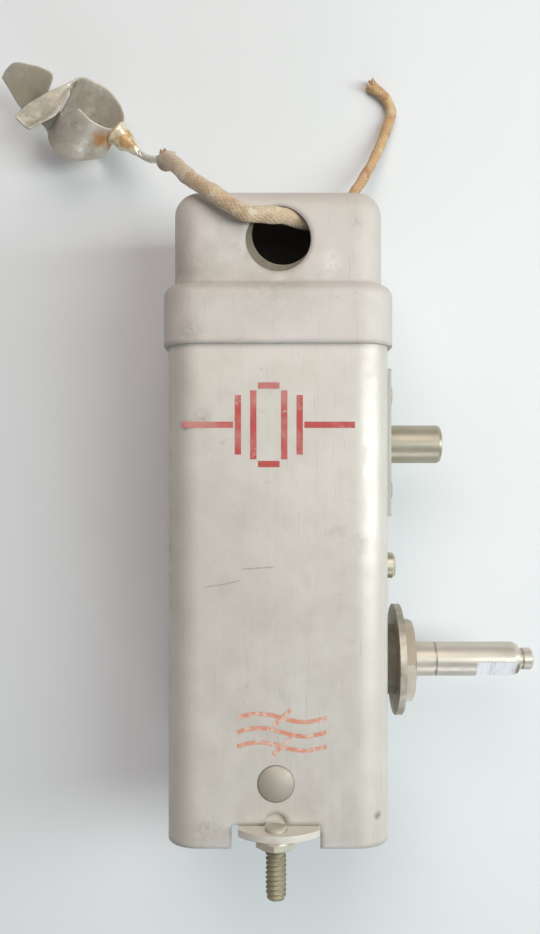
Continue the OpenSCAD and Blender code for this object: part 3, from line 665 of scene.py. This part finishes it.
def stranded_wire():
    """Three tinned strands twisted round the bare end's line"""
    curve = smooth_route(WIRE_ROUTE, 14)
    frames = frames_along(curve)
    strands, sides = 3, 8
    twists = 2.6
    strand_r = GRID_WIRE_D * 0.26
    off = GRID_WIRE_D * 0.25
    points = []
    faces = []
    for strand in range(strands):
        for i, (centre, (_, across, up)) in enumerate(zip(curve, frames)):
            lay = 2 * math.pi * (strand / strands + i / len(curve) * twists)
            middle = round_point(centre, across, up, off, lay)
            for side in range(sides):
                points.append(round_point(middle, across, up, strand_r, 2 * math.pi * side / sides))
        faces += ring_faces(strand * len(curve) * sides, len(curve), sides)
    return piece("bare_wire", points, faces, "tinned_brass", ["grid_wire"])


def petal_low(u):
    """Lower edge of the loop's wall, a round petal on each broad side"""
    return PETAL_R - CLIP_LOW - math.sqrt(max(0.0, PETAL_R ** 2 - u ** 2))


def rim_high(u, b):
    """Sloping upper rim of the loop, cut down where the near wall runs on into its grip"""
    about_u, about_b = [math.radians(angle) for angle in RIM_LEAN]
    high = min(CLIP_HIGH, RIM_MID - u * math.tan(about_b) + b * math.tan(about_u) / math.cos(about_b))
    (low_u, low_a), (high_u, high_a) = RIM_CUT
    if b < 0 and u < high_u:
        high = min(high, low_a + (u - low_u) * (high_a - low_a) / (high_u - low_u))
    return max(high, low_a)


def loop_lines():
    """Cross lines of the flared grip, the near wall and the loop, each as its two ends"""
    lines = [((u, NEAR_WALL, low), (u, NEAR_WALL, high)) for u, low, high in GRIP_LINES]
    middle_r = CLIP_R + CLIP_SHEET / 2
    steps = 48
    for step in range(steps + 1):
        angle = math.radians(NEAR_ANGLE + (360 + FAR_ANGLE - NEAR_ANGLE) * step / steps)
        u, b = middle_r * math.cos(angle), middle_r * math.sin(angle)
        lines.append(((u, b, petal_low(u)), (u, b, rim_high(u, b))))
    return lines


def tab_lines():
    """Cross lines of the narrow tab that leaves the far wall's end and crosses in front"""
    lean = math.radians(FAR_LEAN)
    lines = list(TAB_ROOT)
    for down, right, left in TAB_LINES:
        b, a = FAR_START[0] - down * math.cos(lean), FAR_START[1] - down * math.sin(lean)
        lines.append(((right, b, a), (left, b, a)))
    return lines


def bent_strip(name, lines, crown, stands_for=()):
    """Sheet-metal strip through cross lines, its middle raised by crown, with rounded edges"""
    place = clip_matrix()
    rows = 7
    points = []
    for i, (low, high) in enumerate(lines):
        low, high = Vector(low), Vector(high)
        ahead = Vector(lines[min(i + 1, len(lines) - 1)][0]) - Vector(lines[max(i - 1, 0)][0])
        face = ahead.cross(high - low).normalized()
        for row in range(rows):
            t = row / (rows - 1)
            points.append(place @ (low.lerp(high, t) + face * crown * math.sin(math.pi * t)))
    made = piece(name, points, grid_faces(len(lines), rows), "clip_tin", stands_for)
    shell = made.modifiers.new("sheet", "SOLIDIFY")
    shell.thickness = CLIP_SHEET * MM
    shell.offset = 0
    rounding = made.modifiers.new("rounding", "SUBSURF")
    rounding.levels = 2
    rounding.render_levels = 2
    return made


def sprung_clip():
    """Tube-cap clip: a loop with a flared grip, and the tab that crosses it"""
    loop = bent_strip("sprung_loop", loop_lines(), 0.0, ["grid_clip"])
    tab = bent_strip("crossing_tab", tab_lines(), TAB_CROWN)
    return [loop, tab]


def solder_joint():
    """Lumpy solder that runs from the loop's wall onto the wire"""
    place = clip_matrix()
    start, end = CLIP_R + 0.2, CLIP_TAIL[0] + 0.3
    rings, sides = 17, 20
    points = []
    for ring in range(rings):
        t = ring / (rings - 1)
        u = start + (end - start) * t
        radius = 0.5 + 2.2 * math.sqrt(max(0, 1 - t)) * (1 - 0.35 * t) if ring else 2.3
        for side in range(sides):
            angle = 2 * math.pi * side / sides
            lump = 1 + 0.22 * noise.noise(Vector((u * 0.9, 1.3 * math.cos(angle), 1.3 * math.sin(angle))))
            r = radius * lump
            points.append(place @ Vector((u, r * 0.8 * math.cos(angle), CLIP_TAIL[2] + r * math.sin(angle))))
    faces = ring_faces(0, rings, sides)
    faces.append(tuple(reversed(range(sides))))
    faces.append(tuple(range((rings - 1) * sides, rings * sides)))
    return piece("solder_joint", points, faces, "solder", ["clip_solder"])


def upright_point(x, off_axis, along):
    """Point beside the stud's axis, along it from the can's open end"""
    return Vector((STUD_X + x, along - BACK_MID, STUD_Z + off_axis))


def threaded_stud():
    """Stud with a rolled thread below its hexagon collar"""
    sides = 36
    per_pitch = 8
    run_in = 1.2 * THREAD_PITCH
    flank = 0.9
    count = int((COLLAR_LOW - STUD_TIP) / THREAD_PITCH * per_pitch)
    points = []
    for ring in range(count + 1):
        along = STUD_TIP + (COLLAR_LOW + STUD_OVERLAP - STUD_TIP) * ring / count
        taper = min(1, (along - STUD_TIP) / run_in + 0.25)
        for side in range(sides):
            phase = (along / THREAD_PITCH + side / sides) % 1
            crest = 1 - min(1, abs(phase - 0.5) * 2 / flank)
            angle = 2 * math.pi * side / sides
            radius = STUD_R - THREAD_DEPTH * (1 - crest * taper)
            points.append(upright_point(radius * math.cos(angle), radius * math.sin(angle), along))
    faces = ring_faces(0, count + 1, sides, inside_out=True)
    faces.append(tuple(range(sides)))
    first = len(points)
    add_lathe_hexagon(points, faces)
    add_stake(points, faces)
    made = piece("threaded_stud", points, faces, "stud_brass", ["foot_stud"], smooth=False)
    for polygon in made.data.polygons:
        polygon.use_smooth = max(polygon.vertices) < first
    return made


def add_lathe_hexagon(points, faces):
    """Hexagon collar with its corners turned down"""
    corner = COLLAR_AF / math.sqrt(3)
    flat = COLLAR_AF / 2
    sides = 72
    drop = 0.28
    face_r = flat * 0.97
    levels = [
        (COLLAR_LOW, face_r), (COLLAR_LOW + drop, corner),
        (COLLAR_HIGH - drop, corner), (COLLAR_HIGH, face_r),
    ]
    first = len(points)
    for along, limit in levels:
        for side in range(sides):
            angle = 2 * math.pi * side / sides
            from_flat = (math.degrees(angle) - COLLAR_TURN) % 60 - 30
            radius = min(limit, flat / math.cos(math.radians(from_flat)))
            points.append(upright_point(radius * math.cos(angle), -radius * math.sin(angle), along))
    faces += ring_faces(first, len(levels), sides)
    last = first + (len(levels) - 1) * sides
    faces.append(tuple(reversed(range(first, first + sides))))
    faces.append(tuple(range(last, last + sides)))


def add_stake(points, faces):
    """Plain upper end of the stud, riveted over above the tab"""
    sides = 36
    drop, narrower = 0.25, 0.3
    levels = [
        (COLLAR_HIGH - STUD_OVERLAP, STUD_R), (STAKE_HIGH - drop, STUD_R), (STAKE_HIGH, STUD_R - narrower),
    ]
    first = len(points)
    for along, radius in levels:
        for side in range(sides):
            angle = 2 * math.pi * side / sides
            points.append(upright_point(radius * math.cos(angle), -radius * math.sin(angle), along))
    faces += ring_faces(first, len(levels), sides)
    last = first + (len(levels) - 1) * sides
    faces.append(tuple(range(last, last + sides)))


def stroke(points, faces, line, width, height):
    """Adds a flat painted line of that width, lying on the front face"""
    for (x0, y0), (x1, y1) in zip(line, line[1:]):
        along = Vector((x1 - x0, y1 - y0, 0)).normalized() * width / 2
        side = Vector((-along.y, along.x, 0))
        first = len(points)
        start, end = Vector((x0, y0, height)), Vector((x1, y1, height))
        points.extend([start - side, end - side, end + side, start + side])
        faces.append((first, first + 1, first + 2, first + 3))


def painted(name, lines, width, material):
    """Painted lines on the can's front, each a little over the one before"""
    points = []
    faces = []
    for i, line in enumerate(lines):
        stroke(points, faces, line, width, BODY_W + PAINT_SKIN + PAINT_STEP * i)
    made = piece(name, points, faces, "can_aluminium", smooth=False)
    made.data.materials[0] = material
    return made


def crystal_symbol():
    """Stencilled circuit symbol of a crystal, where the can carries its red words"""
    x, y = -1.6, 28.8
    reach, plate, plate_half, block, block_half, bridge = 14.5, 5.2, 5.0, 2.6, 6.6, 0.8
    lines = []
    for side in (-1, 1):
        lines.append([(x + side * (plate + bridge), y), (x + side * reach, y)])
        lines.append([(x + side * plate, y - plate_half), (x + side * plate, y + plate_half)])
        upright, level = x + side * block, y + side * block_half
        lines.append([(upright, y - block_half + bridge), (upright, y + block_half - bridge)])
        lines.append([(x - block + bridge, level), (x + block - bridge, level)])
    return painted("crystal_symbol", lines, SYMBOL_STROKE, SYMBOL_RED)


def band_symbol():
    """Small stamped symbol of a band filter: three waves, the outer two struck through"""
    x, y = 0.6, -22.9
    width, gap, rise, steps = 15.0, 2.4, 0.7, 24
    strike_x, strike_y = 1.5, 1.4
    lines = []
    for row in (-1, 0, 1):
        wave = []
        for step in range(steps + 1):
            t = step / steps
            wave.append((x + width * (t - 0.5), y + row * gap + rise * math.sin(2 * math.pi * t)))
        lines.append(wave)
        if row:
            middle = y + row * gap
            lines.append([(x - strike_x, middle - strike_y), (x + strike_x, middle + strike_y)])
    return painted("band_symbol", lines, STAMP_STROKE, STAMP_RED)


def face_scratches():
    """Two grey scratches on the can's front"""
    lines = [
        [(-12.4, 1.5), (-9.5, 1.9), (-6.4, 2.6)],
        [(-6.1, 4.5), (-0.6, 4.9)],
    ]
    return painted("face_scratches", lines, SCRATCH_STROKE, SCRATCH)


def filed_flat():
    """Skin of the flat filed on the phasing shaft, cross-hatched by the file, its bright colour partly
    painted highlight
    """
    turn = math.radians(FLAT_ANGLE)
    out = Vector((0, -math.sin(turn), math.cos(turn)))
    across = Vector((0, math.cos(turn), math.sin(turn)))
    middle = Vector((0, PHASING_Y, PHASING_Z)) + out * (FLAT_DEPTH + FLAT_SKIN)
    half = math.sqrt(SHAFT_R ** 2 - FLAT_DEPTH ** 2) - FLAT_MARGIN
    columns, rows = 17, 9
    points = []
    for column in range(columns):
        x = FLAT_FROM + FLAT_MARGIN + (FLAT_TO - FLAT_FROM - 2 * FLAT_MARGIN) * column / (columns - 1)
        for row in range(rows):
            points.append(middle + Vector((x, 0, 0)) + across * half * (2 * row / (rows - 1) - 1))
    faces = grid_faces(columns, rows)
    made = piece("filed_flat", points, faces, "shaft_nickel", smooth=False, body="phasing_control")
    made.data.materials[0] = FILED_WITH_PAINTED_HIGHLIGHT
    return made


def clip_lead():
    """Cloth-covered lead out of the cap's hole, with its bare wire and clip"""
    curve = smooth_route(GRID_ROUTE, 8)
    end = route_length(curve)
    radius_at = worn_radius(GRID_LEAD_D / 2, 3, LEAD_WOBBLE, end, 0.3)
    cover = tube("clip_lead", curve, radius_at, 20, "lead_braid", ["grid_lead"])
    threads = frayed_end("clip_lead_threads", curve, GRID_LEAD_D / 2, 20, FRAY_REACH, "lead_braid", 5)
    on_it = [threads, stranded_wire(), solder_joint()] + sprung_clip()


def cut_lead():
    """Thinner second lead out of the cap's end, cut off"""
    curve = smooth_route(REAR_ROUTE, 8)
    end = route_length(curve)
    radius_at = worn_radius(REAR_LEAD_D / 2, 9, LEAD_WOBBLE, end, 0.25)
    cover = tube("cut_lead", curve, radius_at, 16, "lead_braid_thin", ["rear_lead"])
    threads = frayed_end("cut_lead_threads", curve, REAR_LEAD_D / 2, 14, FRAY_REACH, "lead_braid_thin", 11)


def pale_floor():
    """Wide pale floor, faintly mottled"""
    half = FLOOR_HALF * MM
    mesh = bpy.data.meshes.new("floor")
    corners = [(-half, -half, 0), (half, -half, 0), (half, half, 0), (-half, half, 0)]
    mesh.from_pydata(corners, [], [(0, 1, 2, 3)])
    made = Surface("floor", (0.70, 0.71, 0.73), 0.8)
    made.tint(made.band(made.noise(40, detail=3), 0.4, 0.7, 0, 0.25), (0.66, 0.67, 0.69))
    mesh.materials.append(made.material)
    floor = bpy.data.objects.new("floor", mesh)
    floor.location.z = FLOOR_Z * MM
    bpy.context.collection.objects.link(floor)


def area_light(name, place, wide, tall, power, colour):
    """Soft lamp that faces the unit, in millimetres: wide is its level side, tall the side that rises"""
    lamp = bpy.data.lights.new(name, "AREA")
    lamp.shape = "RECTANGLE"
    lamp.size = wide * MM
    lamp.size_y = tall * MM
    lamp.energy = power
    lamp.color = colour
    made = bpy.data.objects.new(name, lamp)
    made.location = Vector(place) * MM
    aim = Vector(LAMP_AIM) * MM - made.location
    made.rotation_euler = aim.to_track_quat("-Z", "Y").to_euler()
    bpy.context.collection.objects.link(made)


def light_scene():
    """Even pale surroundings, a tall key lamp at the right, and two weaker lamps"""
    world = bpy.data.worlds.new("studio")
    world.use_nodes = True
    background = world.node_tree.nodes["Background"]
    background.inputs["Color"].default_value = (0.97, 0.97, 0.97, 1)
    background.inputs["Strength"].default_value = WORLD_STRENGTH
    bpy.context.scene.world = world
    for name, values in LAMPS.items():
        area_light(name, *values)


place_camera()
clip_lead()
cut_lead()
dress_solids()
threaded_stud()
crystal_symbol()
band_symbol()
face_scratches()
filed_flat()
pale_floor()
light_scene()
bpy.context.scene.view_settings.view_transform = "Standard"
